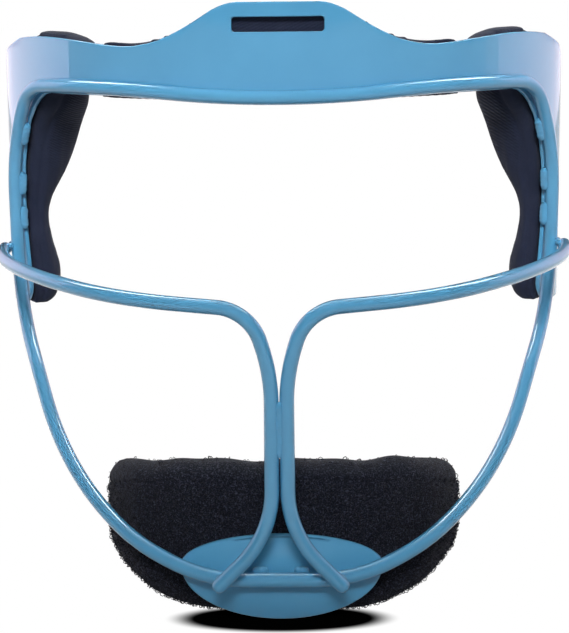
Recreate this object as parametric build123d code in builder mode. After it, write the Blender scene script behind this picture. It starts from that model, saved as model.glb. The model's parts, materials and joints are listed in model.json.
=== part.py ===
from build123d import *
import math
import os

# Softball face guard: a welded wire and sheet steel frame with pull-off pads.
# Lengths are in millimetres. X runs across the face, Y runs back towards the head, Z runs up.

# Frame stock
wire_d = 4.8
sheet_t = 1.5
weld_gap = 0.3
cut_over = 30.0
wire_r = wire_d / 2

# Plan of the brow sheet, along its outer face
front_y = -24.6
brow_bend_r = 110.0
temple_bend_r = 45.0
brow_bend_deg = 61.0
temple_bend_deg = 26.0
wing_rear_y = 59.0

# Brow sheet, front view
sheet_foot_z = 91.0
sheet_top_z = 200.3
tab_half = 13.5
tab_shoulder_x = 33.0
tab_shoulder_z = 191.1
valley_x = 53.0
valley_z = 185.8
temple_x = 85.0
temple_z = 188.5
temple_end_z = 183.9
temple_end_slope_share = -0.4
brow_edge_z = 169.2

# Top strap slot
strap_slot_w = 30.5
strap_slot_h = 4.8
strap_slot_z = 193.0
slot_corner_r = 1.0

# Side wing, side view
wing_top_y = 36.0
wing_top_z = 185.4
wing_shoulder_y = 53.0
wing_shoulder_z = 168.0
wing_heel_y = 56.5
wing_heel_z = 116.0
wing_foot_y = 44.0
wing_corner_r = 13.0
wing_heel_r = 12.0

# Harness slots near the wing's rear edge
side_slot_len = 27.0
side_slot_w = 5.0
side_slot_y = 50.5
side_slot_high_z = 149.0
side_slot_low_z = 116.0

# Front edge of the wing, on a plane square to the sheet at the temple
wing_face_deg = 55.0
eye_corner_deg = 46.0
edge_start_s = -16.0
edge_corner_r = 14.0
edge_corner_deg = 50.0
edge_wide_s = 6.9
edge_wide_z = 124.0
edge_low_s = 3.0
edge_low_z = 97.5
edge_end_r = 8.0
edge_end_deg = 80.0

# Chin plate
plate_half_w = 33.2
plate_mid_z = 19.4
plate_up = 9.7
plate_down = 18.7
plate_dish_r = 24.0
plate_dish_z = 13.5
plate_front_y = -58.2
plate_plan_r = 120.0
plate_sweep_deg = 36.0

# Wire loop, right half, from the middle of the brow to the middle of the chin
brow_wire_z = 169.4
loop_brow_degs = (9.0, 27.0, 40.5)
loop_brow_half_degs = (9.0, 9.0, 4.5)
loop_brow_rise = (0.0, 2.6, 2.9)
loop_corner_deg = 51.3
loop_corner_half_deg = 6.5
loop_corner_z = 171.4
loop_side_deg = 59.0
loop_side_z = 149.0
loop_ear_deg = 58.2
loop_ear_z = 92.5
loop_jaw = (87.4, 4.0, 75.4)
loop_cheek = (74.0, -22.0, 41.7)
loop_chin_side = (47.0, -50.0, 25.0)
loop_chin_x = 24.2
loop_chin_z = 16.4
loop_plate_gap = 0.2
brow_arc_share = 0.97
brow_end_arc_share = 0.87
loop_corner_r = 17.0
loop_side_r = 55.0
loop_ear_r = 45.0
loop_jaw_r = 54.0
loop_cheek_r = 114.0
loop_chin_side_r = 63.0
loop_chin_r = 48.0

# Cheek bars, right one, from its tail to the end of its chin leg
cheek_tail_ease = 0.2
cheek_front_y = -68.2
cheek_tail_y = 30.0
cheek_degs = (76.0, 53.0, 30.0)
cheek_half_deg = 11.5
cheek_heights = (112.0, 111.4, 108.4)
cheek_arc_shares = (0.97, 0.97, 0.72)
cheek_bend_x = 8.9
cheek_bend_in = 3.8
cheek_bend_z = 105.9
bar_top_gap = 0.1
bar_top_in = 2.6
bar_top_z = 85.0
bar_foot_gap = 0.4
bar_foot_in = 0.6
bar_foot_z = 33.4
bar_end_x = 21.3
bar_end_z = 14.6
cheek_bend_r = 15.0
bar_top_r = 60.0
bar_foot_r = 34.0
wire_end_fillet = 1.6

# Weld beads
bead_r = 1.3
side_weld_r = 1.7
side_weld_in_share = 0.9
side_weld_along_share = 0.6
side_weld_heights = (154.0, 136.0, 123.5)
side_weld_len = 5.0
tail_weld_rise_share = 0.6
tail_weld_len = 3.6
centre_weld_out_share = 0.15
centre_weld_low_z = 59.5
centre_weld_high_z = 75.2
chin_tack_x = 6.7
chin_tack_len = 2.6
foot_weld_x = 18.6
foot_weld_len = 2.6

# Hook strips glued inside the sheet
hook_t = 1.0
brow_hook_deg = 26.0
brow_hook_low_z = 173.0
brow_hook_high_z = 185.0
temple_hook_degs = (45.0, 57.0)
temple_hook_low_z = 172.0
temple_hook_high_z = 183.0
wing_hook_degs = (64.0, 77.0)
wing_hook_low_z = 106.0
wing_hook_high_z = 164.0
chin_hook_margin = 7.0

# Pads
pad_clear = 0.3
cover_t = 1.2
nose_share = 0.35

# Brow pad: angles from the middle, tops over its foot and thicknesses
brow_pad_foot_z = 167.2
brow_pad_h = 31.8
brow_pad_t = 11.0
brow_pad_end_deg = 34.4
brow_pad_angle_shares = (-1.0, -0.966, -0.88, -0.788, -0.659, -0.525, -0.405, -0.254, 0.0, 0.254,
                         0.405, 0.525, 0.659, 0.788, 0.88, 0.966, 1.0)
brow_pad_foot_shares = (0.02, 0.02, 0.02, 0.018, 0.012, 0.006, 0.003, 0.0, 0.0, 0.0, 0.003, 0.006,
                        0.012, 0.018, 0.02, 0.02, 0.02)
brow_pad_top_shares = (0.545, 0.632, 0.629, 0.625, 0.675, 0.77, 0.91, 0.99, 1.0, 0.99, 0.91, 0.77,
                       0.675, 0.625, 0.629, 0.632, 0.545)
brow_pad_thick_shares = (0.4, 0.7, 0.9, 0.97, 1.0, 1.0, 1.0, 1.0, 1.0, 1.0, 1.0, 1.0, 1.0, 0.97,
                         0.9, 0.7, 0.4)
brow_pad_shoulder_share = 0.27
brow_pad_flank_share = 0.9

# Side pad: levels up its height, their thicknesses and the angles of their two ends
side_pad_foot_z = 91.5
side_pad_h = 93.5
side_pad_t = 19.8
side_pad_level_shares = (0.0, 0.014, 0.043, 0.083, 0.123, 0.171, 0.225, 0.281, 0.358, 0.412, 0.465,
                         0.519, 0.583, 0.647, 0.711, 0.786, 0.861, 0.936, 0.981, 1.0)
side_pad_thick_shares = (0.3, 0.42, 0.5, 0.54, 0.56, 0.52, 0.44, 0.37, 0.34, 0.41, 0.56,
                         0.72, 0.86, 0.95, 1.0, 1.0, 0.92, 0.7, 0.42, 0.18)
side_pad_front_degs = (58.4, 57.9, 57.4, 57.0, 57.1, 57.3, 57.5, 57.7, 57.7, 57.6, 57.3,
                       56.9, 56.2, 55.2, 53.6, 50.2, 49.2, 49.5, 50.6, 52.0)
side_pad_rear_degs = (67.5, 70.5, 73.0, 75.0, 76.5, 77.6, 78.4, 79.0, 79.0, 79.0, 79.0,
                      79.0, 79.0, 79.0, 78.8, 77.6, 74.5, 70.5, 67.5, 65.5)

# Side pad's forward lobe above the eye opening
lobe_foot_z = 169.6
lobe_h = 20.7
lobe_t = 14.5
lobe_ease = 0.1
lobe_level_shares = (0.0, 0.1, 0.35, 0.65, 0.88, 1.0)
lobe_thick_shares = (0.3, 0.68, 0.95, 1.0, 0.75, 0.35)
lobe_front_degs = (40.0, 39.6, 41.0, 41.4, 42.8, 45.5)
lobe_rear_degs = (58.0, 58.0, 58.0, 57.5, 55.0, 52.0)

# Chin pad: half plan stations as shares of its half width and depth, and shares of its height
chin_pad_half_w = 60.6
chin_pad_depth = 43.0
chin_pad_foot_z = 0.6
chin_pad_h = 50.9
chin_pad_t = 16.0
chin_pad_corner_share = 0.42
chin_plan_x_shares = (0.0, 0.25, 0.47, 0.64, 0.78, 0.885, 0.95, 0.985, 1.0)
chin_plan_y_shares = (0.0, 0.008, 0.035, 0.09, 0.2, 0.37, 0.56, 0.76, 0.93)
chin_foot_shares = (0.0, 0.0, 0.012, 0.055, 0.115, 0.185, 0.235, 0.29, 0.36)
chin_top_shares = (1.0, 1.0, 1.0, 0.995, 0.975, 0.95, 0.915, 0.84, 0.72)
chin_thick_shares = (1.0, 1.0, 1.0, 1.0, 1.0, 0.98, 0.92, 0.8, 0.55)
plate_lip = 1.2

brow_wall_y = front_y + brow_bend_r
loop_plan_r = brow_bend_r + wire_r + weld_gap
pad_face_in = sheet_t + hook_t + pad_clear
dish_y = plate_front_y + plate_dish_r
plan_y = plate_front_y + plate_plan_r
chin_wire_y = plate_front_y - wire_r - loop_plate_gap
plate_rim_rise = plate_mid_z + plate_up - plate_dish_z
chin_pad_front_y = dish_y - math.sqrt((plate_dish_r - sheet_t)**2 - plate_rim_rise**2) + 2 * pad_clear


def arc_point(radius, degrees, centre_y=brow_wall_y):
    """Point in plan at an angle from straight ahead, on a circle about the brow's centre."""
    angle = math.radians(degrees)
    return radius * math.sin(angle), centre_y - radius * math.cos(angle)


temple_centre = arc_point(brow_bend_r - temple_bend_r, brow_bend_deg)


def mirrored_x(points):
    """The same points on the other side of the face."""
    return [(-x, y, z) for x, y, z in points]


def bent_wire(points, radii):
    """Round wire along straight runs joined by tangent bends, with its centre line."""
    with BuildPart() as wire:
        with BuildLine() as route:
            FilletPolyline(*points, radius=radii)
        with BuildSketch(Plane(origin=route.line @ 0, z_dir=route.line % 0)):
            Circle(wire_r)
        sweep()
    return wire, route.line


def bead(start, end, radius=bead_r):
    """Weld bead with round ends from one point to another."""
    run = Vector(*end) - Vector(*start)
    with BuildPart() as weld:
        with Locations(Plane(origin=start, z_dir=run)):
            Cylinder(radius, run.length, align=(Align.CENTER, Align.CENTER, Align.MIN))
        with Locations(start, end):
            Sphere(radius)
    return weld


def both_sides(weld_list):
    """Group of beads as one piece."""
    with BuildPart() as group:
        for weld in weld_list:
            add(weld)
    return group


def wall_section(outer, thick, start_deg, rear_y):
    """Half plan of a wall that follows the brow sheet at a depth behind its outer face."""
    deep = outer + thick
    lean = 1 / math.tan(math.radians(brow_bend_deg + temple_bend_deg))
    sweep_deg = brow_bend_deg - start_deg
    with BuildSketch() as section:
        with BuildLine():
            front = CenterArc((0, brow_wall_y), brow_bend_r - outer, start_deg - 90, sweep_deg)
            side = CenterArc(temple_centre, temple_bend_r - outer, brow_bend_deg - 90, temple_bend_deg)
            run = rear_y - (side @ 1).Y
            rear = Line(side @ 1, (side @ 1) + Vector(run * lean, run))
            side_in = CenterArc(temple_centre, temple_bend_r - deep, brow_bend_deg - 90, temple_bend_deg)
            run_in = rear_y - (side_in @ 1).Y
            rear_in = Line(side_in @ 1, (side_in @ 1) + Vector(run_in * lean, run_in))
            front_in = CenterArc((0, brow_wall_y), brow_bend_r - deep, start_deg - 90, sweep_deg)
            Line(rear @ 1, rear_in @ 1)
            Line(front @ 0, front_in @ 0)
        make_face()
    return section.sketch


# Brow sheet: one bent blank with a strap tab at the top and a wing at each side
with BuildPart() as brow_plate:
    with BuildSketch(Plane.XY.offset(sheet_foot_z)):
        add(wall_section(0, sheet_t, 0, wing_rear_y))
        mirror(about=Plane.YZ)
    extrude(amount=sheet_top_z - sheet_foot_z)

    # Waste above the tab, its shoulders and the temples
    with BuildSketch(Plane.XZ) as above_edge:
        with BuildLine():
            top_edge = Spline(
                (tab_half, sheet_top_z),
                (tab_shoulder_x, tab_shoulder_z),
                (valley_x, valley_z),
                (temple_x, temple_z),
                (brow_bend_r, temple_end_z),
                tangents=[(1, 0), (1, temple_end_slope_share)],
            )
            Polyline(
                top_edge @ 1,
                (brow_bend_r, sheet_top_z + cut_over),
                (0, sheet_top_z + cut_over),
                (0, sheet_top_z),
                top_edge @ 0,
            )
        make_face()
        mirror(about=Plane.YZ)
    extrude(amount=brow_bend_r, both=True, mode=Mode.SUBTRACT)

    # Waste behind the wings
    with BuildSketch(Plane.YZ) as behind_wing:
        with BuildLine():
            wing_edge = FilletPolyline(
                (wing_top_y - wing_corner_r, wing_top_z + wing_corner_r / 2),
                (wing_top_y + wing_corner_r / 2, wing_top_z - wing_corner_r / 4),
                (wing_shoulder_y, wing_shoulder_z),
                (wing_heel_y, wing_heel_z),
                (wing_foot_y, sheet_foot_z),
                radius=[wing_corner_r, wing_corner_r, wing_heel_r],
            )
            Polyline(
                wing_edge @ 1,
                (wing_foot_y, sheet_foot_z - cut_over),
                (wing_rear_y + cut_over, sheet_foot_z - cut_over),
                (wing_rear_y + cut_over, sheet_top_z + cut_over),
                (wing_top_y - wing_corner_r, sheet_top_z + cut_over),
                wing_edge @ 0,
            )
        make_face()
    extrude(amount=brow_bend_r + cut_over, both=True, mode=Mode.SUBTRACT)

    # Eye opening below the brow edge
    with BuildSketch(Plane.XZ):
        with Locations((0, (brow_edge_z + sheet_foot_z - cut_over) / 2)):
            Rectangle(2 * arc_point(brow_bend_r, eye_corner_deg)[0], brow_edge_z - sheet_foot_z + cut_over)
    extrude(amount=brow_bend_r, both=True, mode=Mode.SUBTRACT)

    # Front edge of each wing, cut square to the sheet
    for side in (1, -1):
        face_x, face_y = arc_point(brow_bend_r, wing_face_deg)
        tilt = math.radians(wing_face_deg)
        wing_face = Plane(
            origin=(side * face_x, face_y, 0),
            x_dir=(side * math.cos(tilt), math.sin(tilt), 0),
            z_dir=(math.sin(tilt), -side * math.cos(tilt), 0),
        )
        with BuildSketch(wing_face):
            with BuildLine():
                high = JernArc((edge_start_s, brow_edge_z), (1, 0), edge_corner_r, -edge_corner_deg)
                knee = TangentArc(high @ 1, (edge_wide_s, edge_wide_z), tangent=high % 1)
                low = TangentArc(knee @ 1, (edge_low_s, edge_low_z), tangent=knee % 1)
                lobe = JernArc(low @ 1, low % 1, edge_end_r, edge_end_deg)
                Polyline(
                    lobe @ 1,
                    ((lobe @ 1).X, sheet_foot_z - cut_over),
                    (-cut_over, sheet_foot_z - cut_over),
                    (-cut_over, brow_edge_z),
                    high @ 0,
                )
            make_face()
        extrude(amount=cut_over / 2, both=True, mode=Mode.SUBTRACT)

    # Strap slots in the tab and the wings
    with BuildSketch(Plane.XZ):
        with Locations((0, strap_slot_z)):
            RectangleRounded(strap_slot_w, strap_slot_h, slot_corner_r)
    extrude(amount=brow_bend_r, mode=Mode.SUBTRACT)
    with BuildSketch(Plane.YZ):
        with Locations((side_slot_y, side_slot_high_z), (side_slot_y, side_slot_low_z)):
            RectangleRounded(side_slot_w, side_slot_len, slot_corner_r)
    extrude(amount=brow_bend_r + cut_over, both=True, mode=Mode.SUBTRACT)


# Wire loop round the eyes, the jaw and the chin
def loop_brow_point(degrees, half_degrees, height):
    """Corner of the wire's path that keeps its bends on the sheet's curve."""
    x, y = arc_point(loop_plan_r / math.cos(math.radians(half_degrees)), degrees)
    return x, y, height


ear_x = arc_point(loop_plan_r, loop_ear_deg)[0]
loop_points = [(0, brow_wall_y - loop_plan_r, brow_wire_z)]
for degrees, half_degrees, rise in zip(loop_brow_degs, loop_brow_half_degs, loop_brow_rise):
    loop_points.append(loop_brow_point(degrees, half_degrees, brow_wire_z + rise))
loop_points += [
    loop_brow_point(loop_corner_deg, loop_corner_half_deg, loop_corner_z),
    loop_brow_point(loop_side_deg, 0, loop_side_z),
    loop_brow_point(loop_ear_deg, 0, loop_ear_z),
    loop_jaw,
    loop_cheek,
    loop_chin_side,
    (loop_chin_x, chin_wire_y, loop_chin_z),
    (0, chin_wire_y, loop_chin_z),
]
loop_radii = [loop_plan_r * brow_arc_share] * 2 + [
    loop_plan_r * brow_end_arc_share,
    loop_corner_r,
    loop_side_r,
    loop_ear_r,
    loop_jaw_r,
    loop_cheek_r,
    loop_chin_side_r,
    loop_chin_r,
]
half_loop, loop_line = bent_wire(loop_points, loop_radii)
with BuildPart() as face_loop:
    add(half_loop)
    mirror(about=Plane.YZ)


def loop_at_height(height):
    """Point on the right side of the loop's centre line at a height."""
    share_high, share_low = 0.3, 1.0
    while share_low - share_high > 1e-6:
        middle = (share_high + share_low) / 2
        if (loop_line @ middle).Z > height:
            share_high = middle
        else:
            share_low = middle
    return loop_line @ share_low


# Cheek bars: each runs from outside the wing round the cheek and down to the chin plate
cheek_plan_r = ear_x + wire_d + weld_gap + cheek_tail_ease
cheek_plan_y = cheek_front_y + cheek_plan_r
bar_y = chin_wire_y - wire_d - weld_gap
cheek_points = [(cheek_plan_r, cheek_tail_y, cheek_heights[0])]
for degrees, height in zip(cheek_degs, cheek_heights):
    x, y = arc_point(cheek_plan_r / math.cos(math.radians(cheek_half_deg)), degrees, cheek_plan_y)
    cheek_points.append((x, y, height))
cheek_points += [
    (cheek_bend_x, cheek_front_y + cheek_bend_in, cheek_bend_z),
    (wire_r + bar_top_gap / 2, bar_y + bar_top_in, bar_top_z),
    (wire_r + bar_foot_gap / 2, bar_y + bar_foot_in, bar_foot_z),
    (bar_end_x, bar_y, bar_end_z),
]
cheek_radii = [cheek_plan_r * share for share in cheek_arc_shares] + [cheek_bend_r, bar_top_r, bar_foot_r]


def cheek_bar(points):
    """One bent cheek bar with both ends rounded over."""
    with BuildPart() as bar:
        add(bent_wire(points, cheek_radii)[0])
        fillet(bar.faces().filter_by(GeomType.PLANE).edges(), wire_end_fillet)
    return bar


cheek_bar_right = cheek_bar(cheek_points)
cheek_bar_left = cheek_bar(mirrored_x(cheek_points))


# Chin plate: an oval dish behind the chin wire
def dish_shell(outer, thick, margin):
    """Oval patch of the dish between two depths behind its front face."""
    with BuildPart() as shell:
        with BuildSketch(Plane.YZ):
            with Locations((dish_y, plate_dish_z)):
                Circle(plate_dish_r - outer)
                Circle(plate_dish_r - outer - thick, mode=Mode.SUBTRACT)
            with Locations((dish_y + plate_dish_r, plate_dish_z)):
                Rectangle(2 * plate_dish_r, 2 * plate_dish_r + sheet_t, mode=Mode.SUBTRACT)
        plan_axis = Axis((0, plan_y, 0), (0, 0, 1))
        revolve(axis=plan_axis, revolution_arc=plate_sweep_deg / 2)
        mirror(about=Plane.YZ)
        with BuildSketch(Plane.XZ.offset(-plate_front_y)):
            add(plate_oval(margin))
        extrude(amount=plate_dish_r, both=True, mode=Mode.INTERSECT)
    return shell


def plate_oval(margin):
    """Front outline of the chin plate, drawn in by a margin."""
    half_w = plate_half_w - margin
    middle = (0, plate_mid_z)
    with BuildSketch() as oval:
        with BuildLine():
            EllipticalCenterArc(middle, half_w, plate_up - margin, start_angle=0, arc_size=180)
            EllipticalCenterArc(middle, half_w, plate_down - margin, start_angle=180, arc_size=180)
        make_face()
    return oval.sketch


chin_plate = dish_shell(0, sheet_t, 0)


# Weld beads
def side_stitches(side):
    """Stitch welds in the crevice between the loop and the wing's front edge."""
    stitches = []
    inward = wire_r * side_weld_in_share
    along = wire_r * side_weld_along_share
    for height in side_weld_heights:
        ends = []
        for share in (-0.5, 0.5):
            at = loop_at_height(height + share * side_weld_len)
            turn = math.atan2(at.X, brow_wall_y - at.Y)
            x = at.X - inward * math.sin(turn) - along * math.cos(turn)
            y = at.Y + inward * math.cos(turn) - along * math.sin(turn)
            ends.append((side * x, y, at.Z))
        stitches.append(bead(*ends, side_weld_r))
    return both_sides(stitches)


tail_cross = loop_at_height(cheek_heights[0])
tail_x = (tail_cross.X + cheek_plan_r) / 2


def tail_bead(side):
    """Bead over the crossing of the cheek bar and the loop."""
    rise = cheek_heights[0] + wire_r * tail_weld_rise_share
    return bead(
        (side * tail_x, tail_cross.Y - tail_weld_len / 2, rise),
        (side * tail_x, tail_cross.Y + tail_weld_len / 2, rise),
    )


side_welds_right = side_stitches(1)
side_welds_left = side_stitches(-1)
tail_weld_right = tail_bead(1)
tail_weld_left = tail_bead(-1)

centre_weld_y = bar_y + (bar_top_in + bar_foot_in) / 2 - wire_r * centre_weld_out_share
centre_bar_weld = bead((0, centre_weld_y, centre_weld_low_z), (0, centre_weld_y, centre_weld_high_z))

tack_z = loop_chin_z + wire_r
tack_y = plate_front_y - loop_plate_gap
chin_tacks = both_sides([
    bead((side * chin_tack_x - chin_tack_len / 2, tack_y, tack_z),
         (side * chin_tack_x + chin_tack_len / 2, tack_y, tack_z))
    for side in (1, -1)
])

foot_weld_y = (bar_y + chin_wire_y) / 2
foot_weld_z = loop_chin_z + wire_r / 2
bar_foot_welds = both_sides([
    bead((side * foot_weld_x - foot_weld_len / 2, foot_weld_y, foot_weld_z),
         (side * foot_weld_x + foot_weld_len / 2, foot_weld_y, foot_weld_z))
    for side in (1, -1)
])


# Hook strips on the inner faces
def strip(centre, radius, start_deg, end_deg, low_z, high_z):
    """Strip of hook tape on the inner face of one of the sheet's bends."""
    with BuildPart() as tape:
        with BuildSketch(Plane.XY.offset(low_z)):
            with BuildLine():
                face = CenterArc(centre, radius, start_deg - 90, end_deg - start_deg)
                back = CenterArc(centre, radius - hook_t, start_deg - 90, end_deg - start_deg)
                Line(face @ 0, back @ 0)
                Line(face @ 1, back @ 1)
            make_face()
        extrude(amount=high_z - low_z)
    return tape


brow_centre = (0, brow_wall_y)
brow_in_r = brow_bend_r - sheet_t
temple_in_r = temple_bend_r - sheet_t
brow_hook_strip = strip(
    brow_centre, brow_in_r, -brow_hook_deg, brow_hook_deg, brow_hook_low_z, brow_hook_high_z)
temple_hook_right = strip(
    brow_centre, brow_in_r, *temple_hook_degs, temple_hook_low_z, temple_hook_high_z)
wing_hook_right = strip(
    temple_centre, temple_in_r, *wing_hook_degs, wing_hook_low_z, wing_hook_high_z)


def other_side(piece):
    """Mirror image of a piece on the other side of the face."""
    with BuildPart() as twin:
        add(mirror(piece.part, about=Plane.YZ))
    return twin


temple_hook_left = other_side(temple_hook_right)
wing_hook_left = other_side(wing_hook_right)
chin_hook_patch = dish_shell(sheet_t, hook_t, chin_hook_margin)


# Brow pad
def brow_pad_form(inset):
    """Pad across the brow, or its core when drawn in by the cover."""
    outer_r = brow_bend_r - pad_face_in - inset
    end_deg = brow_pad_end_deg - math.degrees(inset / outer_r)
    tables = zip(brow_pad_angle_shares, brow_pad_foot_shares, brow_pad_top_shares, brow_pad_thick_shares)
    with BuildPart() as form:
        for angle_share, foot_share, top_share, thick_share in tables:
            angle = math.radians(angle_share * end_deg)
            height = (top_share - foot_share) * brow_pad_h - 2 * inset
            thick = thick_share * brow_pad_t - 2 * inset
            shoulder = height * brow_pad_shoulder_share
            flank = thick * brow_pad_flank_share
            section_plane = Plane(
                origin=(0, brow_wall_y, brow_pad_foot_z + foot_share * brow_pad_h + inset),
                x_dir=(math.sin(angle), -math.cos(angle), 0),
                z_dir=(-math.cos(angle), -math.sin(angle), 0),
            )
            with BuildSketch(section_plane):
                with BuildLine():
                    crown = ThreePointArc(
                        (outer_r - flank, shoulder),
                        (outer_r - thick, height / 2),
                        (outer_r - flank, height - shoulder),
                    )
                    TangentArc(crown @ 1, (outer_r, height), tangent=crown % 1)
                    TangentArc(crown @ 0, (outer_r, 0), tangent=-(crown % 0))
                    Line((outer_r, 0), (outer_r, height))
                make_face()
        loft()
    return form


# Side pads
def bend_section(outer, thick, front_deg, rear_deg, height):
    """Level section of a side pad with a round nose at both ends."""
    nose_front = math.degrees(nose_share * thick / (brow_bend_r - outer - thick))
    nose_rear = math.degrees(nose_share * thick / (temple_bend_r - outer))
    with BuildSketch(Plane.XY.offset(height)) as level:
        with BuildLine():
            front = CenterArc(
                brow_centre, brow_bend_r - outer, front_deg - 90, brow_bend_deg - front_deg)
            side = CenterArc(
                temple_centre, temple_bend_r - outer, brow_bend_deg - 90, rear_deg - brow_bend_deg)
            front_in = CenterArc(
                brow_centre, brow_bend_r - outer - thick, front_deg + nose_front - 90,
                brow_bend_deg - front_deg - nose_front)
            side_in = CenterArc(
                temple_centre, temple_bend_r - outer - thick, brow_bend_deg - 90,
                rear_deg - nose_rear - brow_bend_deg)
            TangentArc(side_in @ 1, side @ 1, tangent=side_in % 1)
            TangentArc(front_in @ 0, front @ 0, tangent=-(front_in % 0))
        make_face()
    return level.sketch


def side_pad_thickness(rise_share):
    """Thickness of the side pad at a share of its height."""
    table = list(zip(side_pad_level_shares, side_pad_thick_shares))
    for (low, low_thick), (high, high_thick) in zip(table, table[1:]):
        if rise_share <= high:
            part_way = (rise_share - low) / (high - low)
            return side_pad_t * (low_thick + part_way * (high_thick - low_thick))
    return side_pad_t * side_pad_thick_shares[-1]


def side_pad_form(inset):
    """Pad along the temple and cheek, or its core when drawn in by the cover."""
    outer = pad_face_in + inset
    tables = zip(side_pad_level_shares, side_pad_front_degs, side_pad_rear_degs)
    front_in_deg = math.degrees(inset / brow_bend_r)
    rear_in_deg = math.degrees(inset / temple_bend_r)
    with BuildPart() as form:
        for level_share, front_deg, rear_deg in tables:
            rise = inset + level_share * (side_pad_h - 2 * inset)
            add(bend_section(
                outer,
                side_pad_thickness(rise / side_pad_h) - 2 * inset,
                front_deg + front_in_deg,
                rear_deg - rear_in_deg,
                side_pad_foot_z + rise,
            ))
        loft()
        add(lobe_form(inset))
    return form


def lobe_form(inset):
    """Forward lobe of a side pad, over the corner of the eye opening."""
    outer_r = brow_bend_r - pad_face_in - lobe_ease - inset
    inset_deg = math.degrees(inset / outer_r)
    with BuildPart() as form:
        for level_share, thick_share, front_deg, rear_deg in zip(
                lobe_level_shares, lobe_thick_shares, lobe_front_degs, lobe_rear_degs):
            thick = thick_share * (lobe_t - 2 * inset)
            start = front_deg + inset_deg - 90
            nose = math.degrees(nose_share * thick / (outer_r - thick))
            run = rear_deg - front_deg - 2 * inset_deg
            with BuildSketch(Plane.XY.offset(lobe_foot_z + inset + level_share * (lobe_h - 2 * inset))):
                with BuildLine():
                    face = CenterArc(brow_centre, outer_r, start, run)
                    back = CenterArc(brow_centre, outer_r - thick, start + nose, run - nose)
                    Line(face @ 1, back @ 1)
                    TangentArc(back @ 0, face @ 0, tangent=-(back % 0))
                make_face()
        loft()
    return form


# Chin pad
def dish_filling(inset):
    """Swelling of the chin pad that fills the hollow of the chin plate."""
    radius = plate_dish_r - pad_face_in - inset
    back_y = chin_pad_front_y + chin_pad_t / 2
    with BuildPart() as filling:
        with BuildSketch(Plane.YZ):
            with Locations((dish_y, plate_dish_z)):
                Circle(radius)
            with Locations((back_y + plate_dish_r, plate_dish_z)):
                Rectangle(2 * plate_dish_r, 2 * plate_dish_r, mode=Mode.SUBTRACT)
        revolve(axis=Axis((0, plan_y, 0), (0, 0, 1)), revolution_arc=plate_sweep_deg / 2)
        mirror(about=Plane.YZ)
        with BuildSketch(Plane.XZ.offset(-plate_front_y)):
            add(plate_oval(plate_lip + inset))
        extrude(amount=plate_dish_r, both=True, mode=Mode.INTERSECT)
    return filling


def chin_pad_form(inset):
    """Pad round the chin, or its core when drawn in by the cover."""
    depth = chin_pad_depth - inset
    stations = []
    for x_share, y_share, foot, top, thick in zip(
            chin_plan_x_shares, chin_plan_y_shares, chin_foot_shares, chin_top_shares, chin_thick_shares):
        stations.append((x_share * chin_pad_half_w, chin_pad_front_y + y_share * depth, foot, top, thick))
    stations = [(-x, *rest) for x, *rest in reversed(stations[1:])] + stations
    last = len(stations) - 1
    with BuildPart() as form:
        for i, (x, y, foot, top, thick_share) in enumerate(stations):
            before = stations[max(i - 1, 0)]
            after = stations[min(i + 1, last)]
            turn = math.atan2(after[1] - before[1], after[0] - before[0])
            thick = thick_share * chin_pad_t - 2 * inset
            height = (top - foot) * chin_pad_h - 2 * inset
            section_plane = Plane(
                origin=(x, y, chin_pad_foot_z + foot * chin_pad_h + inset + height / 2),
                x_dir=(math.sin(turn), -math.cos(turn), 0),
                z_dir=(-math.cos(turn), -math.sin(turn), 0),
            )
            with BuildSketch(section_plane):
                with Locations((-inset - thick / 2, 0)):
                    RectangleRounded(thick, height, thick * chin_pad_corner_share)
        loft()
        add(dish_filling(inset))
    return form


def cover_round(whole, core):
    """Cover left when the core is taken out of the whole pad."""
    with BuildPart() as cover:
        add(whole)
        add(core, mode=Mode.SUBTRACT)
    return cover


brow_pad_foam = brow_pad_form(cover_t)
brow_pad_cover = cover_round(brow_pad_form(0), brow_pad_foam)
side_pad_foam_right = side_pad_form(cover_t)
side_pad_cover_right = cover_round(side_pad_form(0), side_pad_foam_right)
side_pad_foam_left = other_side(side_pad_foam_right)
side_pad_cover_left = other_side(side_pad_cover_right)
chin_pad_foam = chin_pad_form(cover_t)
chin_pad_cover = cover_round(chin_pad_form(0), chin_pad_foam)

os.makedirs("parts", exist_ok=True)
pieces = {
    "brow_plate": brow_plate,
    "face_loop": face_loop,
    "cheek_bar_left": cheek_bar_left,
    "cheek_bar_right": cheek_bar_right,
    "chin_plate": chin_plate,
    "side_welds_left": side_welds_left,
    "side_welds_right": side_welds_right,
    "tail_weld_left": tail_weld_left,
    "tail_weld_right": tail_weld_right,
    "centre_bar_weld": centre_bar_weld,
    "chin_tacks": chin_tacks,
    "bar_foot_welds": bar_foot_welds,
    "brow_hook_strip": brow_hook_strip,
    "temple_hook_left": temple_hook_left,
    "temple_hook_right": temple_hook_right,
    "wing_hook_left": wing_hook_left,
    "wing_hook_right": wing_hook_right,
    "chin_hook_patch": chin_hook_patch,
    "brow_pad_cover": brow_pad_cover,
    "brow_pad_foam": brow_pad_foam,
    "side_pad_cover_left": side_pad_cover_left,
    "side_pad_cover_right": side_pad_cover_right,
    "side_pad_foam_left": side_pad_foam_left,
    "side_pad_foam_right": side_pad_foam_right,
    "chin_pad_cover": chin_pad_cover,
    "chin_pad_foam": chin_pad_foam,
}

# Stand the part on the floor with its depth centred over the origin
box = Compound([piece.part for piece in pieces.values()]).bounding_box()
stand = Location((0, -(box.min.Y + box.max.Y) / 2, -box.min.Z))
print("moved by", stand.position)
for name, piece in pieces.items():
    placed = piece.part.moved(stand)
    placed.label = name
    export_step(placed, f"parts/{name}.step")
    print(name, round(placed.volume, 1), len(placed.solids()), placed.is_valid, placed.bounding_box())
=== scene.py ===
"""Softball face guard: a powder-coated wire and sheet frame with pull-off knit and terry pads.

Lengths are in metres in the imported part's frame: +Z up, -Y out of the front, X across the face.
"""

from __future__ import annotations

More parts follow.
